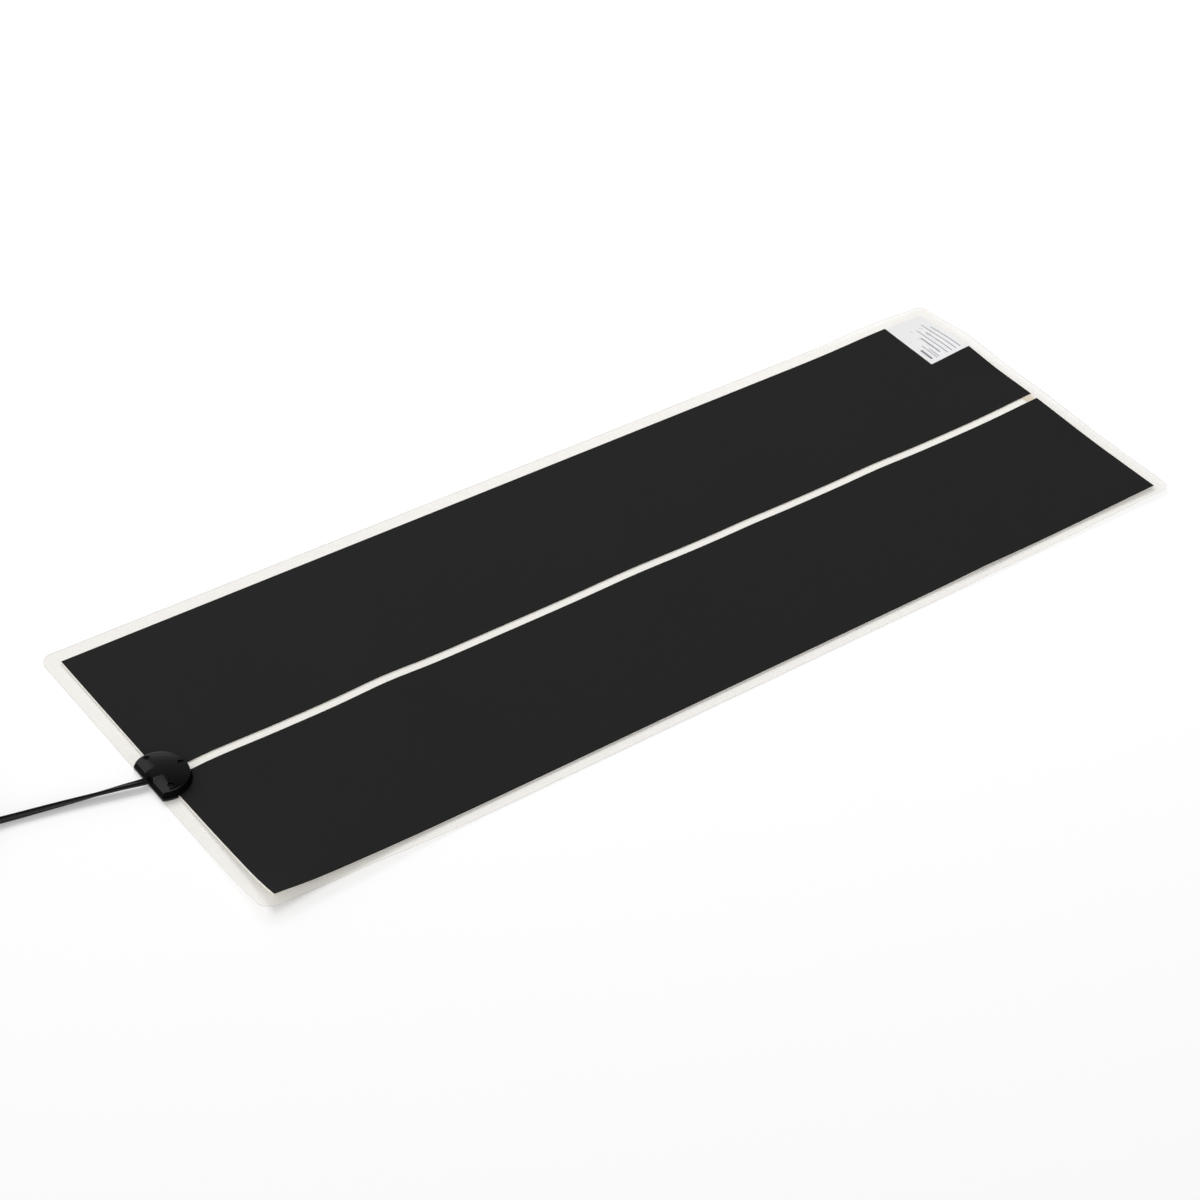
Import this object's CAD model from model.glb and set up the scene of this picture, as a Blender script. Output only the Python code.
import math

import bmesh
import bpy
from mathutils import Euler, Matrix, Vector


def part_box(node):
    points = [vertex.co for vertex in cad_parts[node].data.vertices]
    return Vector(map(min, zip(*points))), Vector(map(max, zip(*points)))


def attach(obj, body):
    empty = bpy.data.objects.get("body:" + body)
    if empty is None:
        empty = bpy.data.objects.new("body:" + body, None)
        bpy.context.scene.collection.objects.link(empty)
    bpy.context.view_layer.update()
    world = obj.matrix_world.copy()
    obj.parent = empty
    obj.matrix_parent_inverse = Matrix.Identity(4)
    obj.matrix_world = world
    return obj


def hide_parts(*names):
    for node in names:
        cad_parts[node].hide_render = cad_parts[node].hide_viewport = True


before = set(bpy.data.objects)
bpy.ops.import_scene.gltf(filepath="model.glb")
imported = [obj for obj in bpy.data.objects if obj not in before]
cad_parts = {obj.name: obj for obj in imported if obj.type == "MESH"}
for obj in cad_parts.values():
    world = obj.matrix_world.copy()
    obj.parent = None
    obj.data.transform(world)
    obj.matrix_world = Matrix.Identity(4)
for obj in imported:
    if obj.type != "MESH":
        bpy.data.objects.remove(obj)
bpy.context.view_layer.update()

# Camera
# It looks down on the mat from its front left corner, from about two metres, and is held with a
# slight tilt.
mm = 0.001
view_turn, view_rise, view_tilt = [math.radians(angle) for angle in (-42.081, 40.221, 6.61)]
view_from = Vector((-1027.06, -1096.674, 1238.556))
film_w, focal_l = 36, 82.889
camera = bpy.data.objects.new("camera", bpy.data.cameras.new("camera"))
camera.data.sensor_width = film_w
camera.data.lens = focal_l
camera.location = view_from * mm
aim = Euler((math.pi / 2 - view_rise, 0, view_turn)).to_matrix()
camera.rotation_euler = (aim @ Matrix.Rotation(view_tilt, 3, "Z")).to_euler()
bpy.context.collection.objects.link(camera)
bpy.context.scene.camera = camera

# Frosted base film
# One sheet of frosted plastic film under the whole mat, cut with round corners. It keeps some of the
# curl of its roll: the ends and the near corner stand off the floor, and low swells follow its middle.
panel_end, panel_side, half_gap = 389, 129, 3.25
end_border, front_border = 11, 8
cap_mid, held_flat, let_go = -390.75, 20.5, 36
# Each swell has its place along and across the mat, its reach both ways, and its height.
swells = [
    (-400, -140, 88, 70, 4.3), (-400, -140, 27.5, 20, 5.7), (400, -140, 70, 80, 1.5),
    (400, 10, 50, 60, 3.3), (400, 82, 40, 32, 4.4), (345, 140, 45, 50, 2.3),
    (-352, 0, 30, 40, 0.9), (-220, 0, 28, 60, 1.8), (-10, 0, 40, 60, 1.2),
    (98, 0, 22, 60, 0.5), (222, 0, 28, 60, 1.0), (212, -140, 28, 60, 0.9),
]
# Each flare of the front rim has its place along the mat, its reach and its height.
rim_flares = [(-330, 45, 2.5), (350, 90, 1.6)]
end_droop, corner_droop, corner_reach = 0.32, 0.25, 25


def share(way):
    """A part of the way from 0 to 1, held inside these."""
    return min(max(way, 0), 1)


def lift(x, y):
    """Height that the mat stands off the floor at a place, both in millimetres."""
    swell = sum(
        top * math.exp(-(((x - mid_x) / along) ** 2) - ((y - mid_y) / across) ** 2)
        for mid_x, mid_y, along, across, top in swells
    )
    free = share((math.hypot(x - cap_mid, y) - held_flat) / (let_go - held_flat))
    past_end = share((-panel_end - x) / end_border)
    past_front = share((-panel_side - y) / front_border)
    near_corner = math.exp(-(((x + panel_end + end_border) / corner_reach) ** 2))
    droop = max(end_droop * past_end, corner_droop * past_front * near_corner)
    flare = past_front * sum(
        top * math.exp(-(((x - mid_x) / along) ** 2)) for mid_x, along, top in rim_flares
    )
    return swell * free * free * (3 - 2 * free) * (1 - droop) + flare


def linear(hex_colour):
    """Linear RGBA of an sRGB hex colour."""
    channels = [int(hex_colour[k:k + 2], 16) / 255 for k in (1, 3, 5)]
    return [c / 12.92 if c <= 0.04045 else ((c + 0.055) / 1.055) ** 2.4 for c in channels] + [1]


def add_node(tree, kind, inputs, stops=(), **settings):
    """A new node with its settings, its ramp's stops, and its inputs as values or as links."""
    made = tree.nodes.new(kind)
    for name, value in settings.items():
        setattr(made, name, value)
    for k, (place, colour) in enumerate(stops):
        element = made.color_ramp.elements[k] if k < 2 else made.color_ramp.elements.new(place)
        element.position, element.color = place, linear(colour)
    for name, value in inputs.items():
        if isinstance(value, bpy.types.NodeSocket):
            tree.links.new(value, made.inputs[name])
        else:
            made.inputs[name].default_value = value
    return made


def finish(name, dark, pale, grain, roughness, depth, **shader):
    """Material whose grain, of a size and depth in millimetres, stirs its colour and its gloss."""
    low, high = 0.3, 0.7
    material = bpy.data.materials.new(name)
    material.use_nodes = True
    tree = material.node_tree
    surface = tree.nodes["Principled BSDF"]
    place = add_node(tree, "ShaderNodeTexCoord", {}).outputs["Object"]
    noise = add_node(tree, "ShaderNodeTexNoise", {
        "Vector": place, "Scale": 1 / (grain * mm), "Detail": 3})
    speck = noise.outputs["Fac"]
    colour = add_node(tree, "ShaderNodeValToRGB", {"Fac": speck}, stops=((low, dark), (high, pale)))
    gloss = add_node(tree, "ShaderNodeMapRange", {
        "Value": speck, "From Min": low, "From Max": high,
        "To Min": roughness[0], "To Max": roughness[1]})
    bump = add_node(tree, "ShaderNodeBump", {"Height": speck, "Strength": 1, "Distance": depth * mm})
    tree.links.new(colour.outputs["Color"], surface.inputs["Base Color"])
    tree.links.new(gloss.outputs["Result"], surface.inputs["Roughness"])
    tree.links.new(bump.outputs["Normal"], surface.inputs["Normal"])
    for socket, value in shader.items():
        surface.inputs[socket.replace("_", " ")].default_value = value
    return material


def place_piece(name, bm, materials, slot, *nodes):
    """A piece of the mat from its mesh, riding with it and standing for CAD nodes."""
    sharp = math.radians(30)
    for edge in bm.edges:
        edge.smooth = edge.calc_face_angle(0) < sharp
    for face in bm.faces:
        face.smooth = True
    mesh = bpy.data.meshes.new(name)
    bm.to_mesh(mesh)
    bm.free()
    for material in materials:
        mesh.materials.append(material)
    piece = bpy.data.objects.new(name, mesh)
    bpy.context.collection.objects.link(piece)
    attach(piece, "root")
    if nodes:
        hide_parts(*nodes)
    return piece


def merged_copy(node, flat_within=0.5):
    """A CAD node's mesh with its triangles joined, and those flat within some degrees made one face."""
    weld = 0.001
    bend = math.radians(flat_within)
    bm = bmesh.new()
    bm.from_mesh(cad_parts[node].data)
    bmesh.ops.remove_doubles(bm, verts=bm.verts, dist=weld * mm)
    bmesh.ops.dissolve_limit(bm, angle_limit=bend, verts=bm.verts, edges=bm.edges)
    return bm


def drape(bm, cuts=((), ())):
    """Cuts a flat mesh into a net fine enough to bend, and lays it along the swells."""
    net, margin, snap = 10, 1, 0.01
    for axis in (0, 1):
        across = Vector((axis == 0, axis == 1, 0))
        places = [vert.co[axis] / mm for vert in bm.verts]
        low, high = min(places) + margin, max(places) - margin
        rows = [net * k for k in range(math.ceil(low / net), math.ceil(high / net))]
        for place in rows + list(cuts[axis]):
            bmesh.ops.bisect_plane(bm, geom=bm.verts[:] + bm.edges[:] + bm.faces[:], dist=snap * mm,
                                   plane_co=across * place * mm, plane_no=across)
    for vert in bm.verts:
        vert.co.z += lift(vert.co.x / mm, vert.co.y / mm) * mm
    return bm


# Frosted PET lets most of the light by and veils the rest. Its fine matt grain is drawn coarser than
# it is so that it shows. The bare strip is whiter, where two sheets are laminated, and the cut edge is
# dull.
frosted_pet = finish("frosted_pet", "#DED4C0", "#E6DCCA", 1.6, (0.4, 0.55), 0.001, Alpha=0.11,
                     Specular_IOR_Level=0.3)
white_pet = finish("laminated_pet", "#F8F5EE", "#FDFBF5", 1.6, (0.4, 0.55), 0.001,
                   Specular_IOR_Level=0.3)
cut_pet = finish("cut_pet_edge", "#B0ADA6", "#BAB7B0", 1.6, (0.5, 0.6), 0.001, Alpha=0.28)
panel_edges = ((-panel_end, panel_end), (-panel_side, -half_gap, half_gap, panel_side))
cut_slope = 0.5
bm = drape(merged_copy("base_film"), panel_edges)
bm.normal_update()
for face in bm.faces:
    middle = face.calc_center_median() / mm
    in_gap = abs(middle.x) < panel_end and abs(middle.y) < half_gap
    if abs(face.normal.z) < cut_slope:
        face.material_index = 2
    else:
        face.material_index = 1 if in_gap else 0
place_piece("frosted_sheet", bm, (frosted_pet, white_pet, cut_pet), "frosted_film", "base_film")

# Carrier sheets
# A smooth cream plastic sheet under each panel, laminated to the base film. It is a little longer than
# the black film on it, so that a bright satin line shows along the panel's two ends.
cream_pet = finish("cream_pet", "#FBF8EC", "#FFFDF5", 2.5, (0.45, 0.6), 0.01)
for side in ("rear", "front"):
    bm = drape(merged_copy(side + "_carrier"))
    place_piece(side + "_carrier_sheet", bm, [cream_pet], "cream_film", side + "_carrier")

# Heating layers and copper strips
# Carbon ink is printed on each carrier between two copper strips. A strip at the far end joins the two
# panels, and shows where it crosses the bare strip between them, tinned and dull under its varnish.
carbon_ink = finish("printed_carbon_ink", "#141414", "#1E1E1E", 0.8, (0.6, 0.8), 0.02)
tinned_copper = finish("tinned_copper_foil", "#EADCC6", "#F2E7D6", 3, (0.3, 0.45), 0.01, Metallic=0.1)
for side in ("rear", "front"):
    bm = drape(merged_copy(side + "_heating_layer"))
    place_piece(side + "_carbon", bm, [carbon_ink], "carbon", side + "_heating_layer")
    bm = drape(merged_copy(side + "_bus_bar"))
    place_piece(side + "_copper_strip", bm, [tinned_copper], "copper", side + "_bus_bar")
place_piece("copper_link", drape(merged_copy("link_bar")), [tinned_copper], "copper", "link_bar")

# Black cover films
# Matt black film laminated over each panel. It is almost without gloss, with a fine even grain that is
# drawn coarser than it is so that it shows.
black_film = finish("matt_black_film", "#202020", "#252525", 1.2, (0.65, 0.8), 0.02,
                    Specular_IOR_Level=0.15)
for side in ("rear", "front"):
    bm = drape(merged_copy(side + "_cover_film"))
    place_piece(side + "_black_film", bm, [black_film], "black_film", side + "_cover_film")

# Label
# A label of silvered polyester, pale with a soft sheen, stuck to the base film in the notch of the rear
# panel's far corner. Plain grey rules of several lengths are printed on it.
silver_label = finish("silvered_polyester", "#F3F3F5", "#FAFAFB", 1.5, (0.3, 0.4), 0.005, Metallic=0.05)
grey_ink = finish("grey_printing_ink", "#8E8E92", "#98989C", 0.8, (0.5, 0.6), 0.002)
ink_t = 0.03
# Each rule has its place and width along the mat, and its start and end across, from the near corner.
printed_rules = [
    (4.5, 2.2, 5, 18), (9, 0.7, 4, 22), (11.2, 0.7, 4, 16), (15.5, 1.2, 8, 30), (20, 0.8, 4, 40),
    (24.5, 0.8, 4, 34), (29, 0.8, 4, 44), (33.5, 0.8, 4, 38),
]
place_piece("silver_label", drape(merged_copy("rating_label")), [silver_label], "label", "rating_label")
low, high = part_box("rating_label")
bm = bmesh.new()
for place, width, start, end in printed_rules:
    middle = Vector((low[0] + place * mm, low[1] + (start + end) / 2 * mm, high[2] + ink_t / 2 * mm))
    size = Matrix.Diagonal((width * mm, (end - start) * mm, ink_t * mm, 1))
    bmesh.ops.create_cube(bm, size=1, matrix=Matrix.Translation(middle) @ size)
place_piece("label_rules", drape(bm), [grey_ink], "label")

# Cap foot
# The lower half of the terminal cap, moulded in glossy black plastic and set into the base film, with
# bosses for the screws and pegs for the cord's grip.
gloss_abs = finish("gloss_black_abs", "#0A0A0C", "#0D0D0F", 0.6, (0.2, 0.26), 0.0005)


def dress(material, *nodes):
    """Gives CAD nodes that keep their own shape a material."""
    for node in nodes:
        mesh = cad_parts[node].data
        mesh.materials.clear()
        mesh.materials.append(material)


dress(gloss_abs, "cap_base")

# Terminals
# A brass plate is riveted to each panel's copper strip inside the cap, with a barrel crimped on a bare
# stranded wire of the cord. A nylon block grips the cord behind them.
rolled_brass = finish("rolled_brass", "#B89A5A", "#C8AC6C", 2, (0.25, 0.35), 0.005, Metallic=1)
rivet_metal = finish("rivet_aluminium", "#B8B8BC", "#C8C8CC", 2, (0.3, 0.4), 0.005, Metallic=1)
dress(rolled_brass, "live_terminal", "neutral_terminal")
dress(rivet_metal, "terminal_rivets")
stranded_copper = finish("stranded_copper", "#B06C48", "#C88058", 0.4, (0.25, 0.35), 0.03, Metallic=1)
dress(stranded_copper, "live_wire", "neutral_wire")
dress(finish("grey_nylon", "#2C2C2C", "#343434", 1, (0.5, 0.6), 0.01), "cord_grip")

# Cap seal
# A flat ring of black rubber, cut from sheet and pressed between the panels and the cover by the
# screws. It is seen as a fine matt line.
dress(finish("black_rubber", "#101010", "#161616", 1, (0.6, 0.75), 0.01), "cap_seal")

# Cap cover
# A hollow domed cover of glossy black plastic, screwed down over the seal. Its top is polished and its
# walls come textured and matt out of the mould, and its edges are softly rounded.
matt_abs = finish("textured_black_abs", "#060607", "#0A0A0B", 0.5, (0.6, 0.75), 0.004,
                  Specular_IOR_Level=0.04)
wall_slope = 0.35
rounding_r, rounding_steps, rounding_from = 0.5, 4, math.radians(35)
bm = merged_copy("cap_cover", flat_within=0.01)
bm.normal_update()
for face in bm.faces:
    face.material_index = 1 if abs(face.normal.z) < wall_slope else 0
cover = place_piece("cap_cover_shell", bm, (gloss_abs, matt_abs), "cap_plastic", "cap_cover")
rounding = cover.modifiers.new("rounded_edges", "BEVEL")
rounding.width = rounding_r * mm
rounding.segments = rounding_steps
rounding.limit_method = "ANGLE"
rounding.angle_limit = rounding_from

# Cap screws
# Three small cross-head screws of blackened steel, driven through the cover into the bosses of the
# foot. Their heads are sunk, so they show as a dull gleam in dark holes.
black_steel = finish("blackened_steel", "#5A5A5E", "#6C6C70", 0.8, (0.35, 0.45), 0.005, Metallic=1)
dress(black_steel, "cap_screws")

# Cord
# Flat twin cord of black plastic: two round cores side by side with a groove between them. It leaves
# the cap lying flat, turns on edge, and lies in a tied coil of two layers before the plug.
core_r = 1.35
layer_turns, drop_turns, points_a_turn = 2.875, 0.5, 48
coil_r, coil_pitch, coil_z, layer_pitch = 37, 3.4, 3.6, 6.1
coil_total = 2 * layer_turns + drop_turns
coil_mid = Vector((-542.4, 58, 0))
route_step, lobe_reach, lobe_step = 3, 130, 20
# The lead runs from the cap to the coil and the tail from the coil to the plug, each point with its
# twist in degrees.
lead = [
    (-392.25, 0, 4.1, 0), (-400, 0, 4.1, 0), (-406, 1, 4.1, 8), (-414, 3, 3.9, 22), (-426, 5.7, 3.5, 38),
    (-440, 8.9, 3, 54), (-454, 11.9, 2.8, 66), (-468, 14.7, 2.75, 75), (-482, 17.4, 2.75, 82),
    (-495, 19.7, 3.2, 87), (-507, 20.8, 4.9, 90), (-519, 21, 7.7, 90), (-530, 21, 9.7, 90),
]
tail = [
    (-579.4, 72.4, 3.6, 86), (-579.4, 81.4, 3.4, 76), (-578.8, 90.4, 3.6, 60), (-576, 99.4, 4.6, 40),
    (-570.4, 106.4, 5.9, 18), (-564.4, 112.4, 6.85, 0), (-550.5, 126.3, 6.85, 0),
    (-536.5, 140.3, 6.85, 0),
]


def turn_point(n):
    """Middle and twist of the cord after n turns, in along the upper layer and out along the lower."""
    r = coil_r - coil_pitch * min(n, coil_total - n)
    dropped = (1 - math.cos(math.pi * share((n - layer_turns) / drop_turns))) / 2
    angle = 2 * math.pi * n
    return (coil_mid.x - r * math.sin(angle), coil_mid.y - r * math.cos(angle),
            coil_z + layer_pitch * (1 - dropped), 90)


def smooth_route(points, step):
    """Points of a smooth curve through a route's points, about a step apart, with their twists."""
    found = []
    ends = [points[0]] + points + [points[-1]]
    for p0, p1, p2, p3 in zip(ends, ends[1:], ends[2:], ends[3:]):
        count = max(2, round(math.dist(p1[:3], p2[:3]) / step))
        for t in (k / count for k in range(count)):
            found.append([
                0.5 * (2 * b + (c - a) * t + (2 * a - 5 * b + 4 * c - d) * t * t
                       + (3 * b - a - 3 * c + d) * t ** 3)
                for a, b, c, d in zip(p0, p1, p2, p3)
            ])
    return found + [list(points[-1])]


def sweep(section, stations):
    """Closed tube whose section, in millimetres, is carried along a row of placing matrices."""
    bm = bmesh.new()
    ring = [bm.verts.new((x * mm, y * mm, 0)) for x, y in section]
    edges = [bm.edges.new(pair) for pair in zip(ring, ring[1:] + ring[:1])]
    bmesh.ops.transform(bm, matrix=stations[0], verts=ring)
    bmesh.ops.contextual_create(bm, geom=edges)
    for last, here in zip(stations, stations[1:]):
        grown = bmesh.ops.extrude_edge_only(bm, edges=edges)["geom"]
        ring = {part for part in grown if isinstance(part, bmesh.types.BMVert)}
        edges = [
            part for part in grown
            if isinstance(part, bmesh.types.BMEdge) and ring.issuperset(part.verts)
        ]
        bmesh.ops.transform(bm, matrix=here @ last.inverted(), verts=list(ring))
    bmesh.ops.contextual_create(bm, geom=edges)
    bmesh.ops.recalc_face_normals(bm, faces=bm.faces)
    return bm


turns = [turn_point(k / points_a_turn) for k in range(int(coil_total * points_a_turn) + 1)]
to_coil = smooth_route(lead + turns[:1], route_step)
to_plug = smooth_route(turns[-1:] + tail, route_step)
route = to_coil[:-1] + [list(turn) for turn in turns] + to_plug[1:]
middles = [Vector(point[:3]) * mm for point in route]
stations = []
for before, here, after, point in zip(middles[:1] + middles, middles, middles[1:] + middles[-1:], route):
    ahead = (after - before).normalized()
    side = Vector((-ahead.y, ahead.x, 0)).normalized()
    twisted = Matrix.Rotation(math.radians(point[3]), 3, ahead)
    axes = Matrix((twisted @ side, twisted @ ahead.cross(side), ahead)).transposed()
    stations.append(Matrix.Translation(here) @ axes.to_4x4())
lobe = [math.radians(angle) for angle in range(-lobe_reach, lobe_reach + 1, lobe_step)]
twin_section = [
    (end * core_r * (1 + math.cos(angle)), end * core_r * math.sin(angle))
    for end in (1, -1) for angle in lobe
]
# Soft black PVC, extruded smooth, with a low gloss along its two cores.
cord_pvc = finish("extruded_black_pvc", "#040405", "#070708", 2, (0.2, 0.28), 0.004,
                  Specular_IOR_Level=0.3)
cord = place_piece("twin_cord", sweep(twin_section, stations), [cord_pvc], "cord_pvc",
                   "cord_lead", "cord_coil", "cord_tail")

# Plug
# A flat two-pin mains plug moulded on the cord in matt black plastic, with grooves for the fingers, a
# ribbed strain relief behind it, and two plated pins with black sleeves set in a carrier inside.
plug_l, plug_face_l, plug_tail_l = 34, 8, 33
plug_face, plug_tail = Vector((35, 13.7)), Vector((14, 11))
groove_count, groove_start, groove_pitch, groove_w, groove_depth = 5, 4.5, 3.4, 1.6, 0.5
groove_form = ((0, 0), (0.25, 1), (0.75, 1), (1, 0))
back_round, shoulder, face_round = 0.5, 0.6, ((1, 0), (0.3, 0.6), (0, 2))
squareness, section_points = 4.5, 64
both_ways = Vector((1, 1))
plug_spot, plug_turn = Vector((-519.145, 157.655, 6.85)), math.radians(45)
plug_at = Matrix.Translation(plug_spot * mm) @ Matrix.Rotation(plug_turn, 4, "Z")


def plug_size(x):
    """Width and thickness of the plug at a distance from its face."""
    return plug_tail.lerp(plug_face, share((plug_tail_l + x) / (plug_tail_l - plug_face_l)))


back = plug_size(-plug_l)
outline = [(-plug_l, back - 2 * back_round * both_ways), (-plug_l + back_round, back)]
for k in range(groove_count):
    start = -plug_tail_l + groove_start + k * groove_pitch
    for step, depth in groove_form:
        x = start + step * groove_w
        outline.append((x, plug_size(x) - 2 * depth * groove_depth * both_ways))
before_face = -plug_face_l - shoulder
outline += [(before_face, plug_size(before_face)), (-plug_face_l + shoulder, plug_face)]
outline += [(-behind, plug_face - narrower * both_ways) for behind, narrower in face_round]
facing = Matrix(((0, 0, 1), (1, 0, 0), (0, 1, 0))).to_4x4()
stations = []
for x, size in outline:
    fitted = Matrix.Diagonal((size.x / 2, size.y / 2, 1, 1))
    stations.append(plug_at @ Matrix.Translation((x * mm, 0, 0)) @ facing @ fitted)
plug_section = [
    [math.copysign(abs(c) ** (2 / squareness), c) for c in (math.cos(angle), math.sin(angle))]
    for angle in (2 * math.pi * k / section_points for k in range(section_points))
]
# Moulded PVC is matt, with the faint grain of its mould.
moulded_pvc = finish("moulded_black_pvc", "#0E0E0E", "#141414", 0.6, (0.45, 0.55), 0.004)
plug = place_piece("plug_moulding", sweep(plug_section, stations), [moulded_pvc], "plug_pvc",
                   "plug_body")
dress(moulded_pvc, "plug_relief")
dress(finish("white_nylon", "#D0D0CC", "#DCDCD8", 1, (0.5, 0.6), 0.01), "plug_bridge")
dress(finish("nickel_plate", "#C4C2BC", "#D2D0CA", 3, (0.15, 0.25), 0.003, Metallic=1), "plug_pins")
dress(finish("black_nylon", "#121212", "#181818", 1, (0.45, 0.55), 0.01), "pin_sleeves")
dress(stranded_copper, "plug_wires")

# Tie
# A black woven strap, pulled snug round all the turns of the coil at one place, with its end lapped
# over its start on top.
tie_w, tie_t, tie_angle = 8, 0.6, math.radians(30)
turns_mid, half_l, half_h, bend_r, lap = 31.46, 5.4, 6.35, 1.5, 0.65
lap_start, lap_end = -3, 3.5
edge_half, edge_cut = 0.1, 0.15
tie_mid = coil_mid + Vector((
    turns_mid * math.cos(tie_angle), turns_mid * math.sin(tie_angle), half_h + tie_t / 2))
band = [(lap_start, half_h)]
for turn, (corner_x, corner_z) in zip((90, 0, -90, -180), ((1, 1), (1, -1), (-1, -1), (-1, 1))):
    out = lap if turn == -180 else 0
    for angle in (math.radians(turn - step) for step in range(0, 91, 15)):
        band.append((corner_x * (half_l - bend_r) + (bend_r + out) * math.cos(angle),
                     corner_z * (half_h - bend_r) + (bend_r + out) * math.sin(angle)))
band.append((lap_end, half_h + lap))
tie_axes = Matrix.Rotation(tie_angle, 3, "Z")
stations = []
for before, here, after in zip(band[:1] + band, band, band[1:] + band[-1:]):
    ahead = Vector((after[0] - before[0], 0, after[1] - before[1])).normalized()
    across = Vector((0, 1, 0))
    axes = tie_axes @ Matrix((across, ahead.cross(across), ahead)).transposed()
    middle = tie_mid + tie_axes @ Vector((here[0], 0, here[1]))
    stations.append(Matrix.Translation(middle * mm) @ axes.to_4x4())
strap_edge = [
    (tie_w / 2, edge_half), (tie_w / 2 - edge_cut, tie_t / 2),
    (-tie_w / 2 + edge_cut, tie_t / 2), (-tie_w / 2, edge_half),
]
strap_section = strap_edge + [(-x, -y) for x, y in strap_edge]
# Woven nylon: matt, with a thread of half a millimetre.
woven_nylon = finish("woven_black_nylon", "#141414", "#242424", 0.5, (0.75, 0.9), 0.06)
tie = place_piece("coil_tie", sweep(strap_section, stations), [woven_nylon], "tie_strap", "cord_tie")

# Floor
# A seamless floor of pale matt paper that keeps the mat's shadow. What the eye and reflections see of
# it gets a glow of its own, so that it shows white without more light on the mat.
floor_z, floor_size = -0.05, 20
floor_at = Matrix.Translation((0, 0, floor_z * mm))
bm = bmesh.new()
bmesh.ops.create_grid(bm, x_segments=1, y_segments=1, size=floor_size, matrix=floor_at)
mesh = bpy.data.meshes.new("floor")
bm.to_mesh(mesh)
bm.free()
floor = bpy.data.objects.new("floor", mesh)
bpy.context.collection.objects.link(floor)
paper = bpy.data.materials.new("white_paper")
paper.use_nodes = True
tree = paper.node_tree
surface = tree.nodes["Principled BSDF"]
surface.inputs["Base Color"].default_value = linear("#F2F2F2")
surface.inputs["Roughness"].default_value = 0.9
surface.inputs["Specular IOR Level"].default_value = 0
path = add_node(tree, "ShaderNodeLightPath", {})
seen = add_node(tree, "ShaderNodeMath", {
    0: path.outputs["Is Camera Ray"], 1: path.outputs["Is Glossy Ray"]}, operation="ADD")
seen = add_node(tree, "ShaderNodeMath", {
    0: seen.outputs["Value"], 1: path.outputs["Is Transmission Ray"]}, operation="ADD", use_clamp=True)
glow = add_node(tree, "ShaderNodeEmission", {
    "Color": linear("#7C7C7C"), "Strength": seen.outputs["Value"]})
bright = add_node(tree, "ShaderNodeAddShader", {0: surface.outputs["BSDF"], 1: glow.outputs["Emission"]})
tree.links.new(bright.outputs["Shader"], tree.nodes["Material Output"].inputs["Surface"])
mesh.materials.append(paper)

# Light
# A soft studio that is bright low down and on the side of the cord, and dark overhead and past the
# mat's far end, so that the glossy cap stays black with a pale rear rim and facets. One large lamp
# stands high behind the mat.
world = bpy.data.worlds.new("studio")
world.use_nodes = True
tree = world.node_tree
direction = add_node(tree, "ShaderNodeTexCoord", {}).outputs["Generated"]
parts = add_node(tree, "ShaderNodeSeparateXYZ", {"Vector": direction})
by_height = add_node(tree, "ShaderNodeValToRGB", {"Fac": parts.outputs["Z"]}, stops=(
    (0.46, "#FFFFFF"), (0.53, "#686868"), (0.7, "#686868"), (0.8, "#202020")))
by_side = add_node(tree, "ShaderNodeValToRGB", {"Fac": parts.outputs["X"]}, stops=(
    (0, "#E0E0E0"), (0.12, "#202020")))
past_right = add_node(tree, "ShaderNodeValToRGB", {"Fac": parts.outputs["X"]}, stops=(
    (0.5, "#FFFFFF"), (0.62, "#585858")))
low_band = add_node(tree, "ShaderNodeVectorMath", {
    0: by_height.outputs["Color"], 1: past_right.outputs["Color"]}, operation="MINIMUM")
studio = add_node(tree, "ShaderNodeVectorMath", {
    0: low_band.outputs["Vector"], 1: by_side.outputs["Color"]}, operation="MAXIMUM")
tree.links.new(studio.outputs["Vector"], tree.nodes["Background"].inputs["Color"])
bpy.context.scene.world = world
lamp = bpy.data.objects.new("key", bpy.data.lights.new("key", "AREA"))
lamp.data.energy = 98
lamp.data.size = 2
lamp.location = (0.9, 2.4, 3.1)
lamp.rotation_euler = (-lamp.location).to_track_quat("-Z", "Y").to_euler()
lamp.visible_glossy = False
bpy.context.collection.objects.link(lamp)
bpy.context.scene.view_settings.view_transform = "Standard"
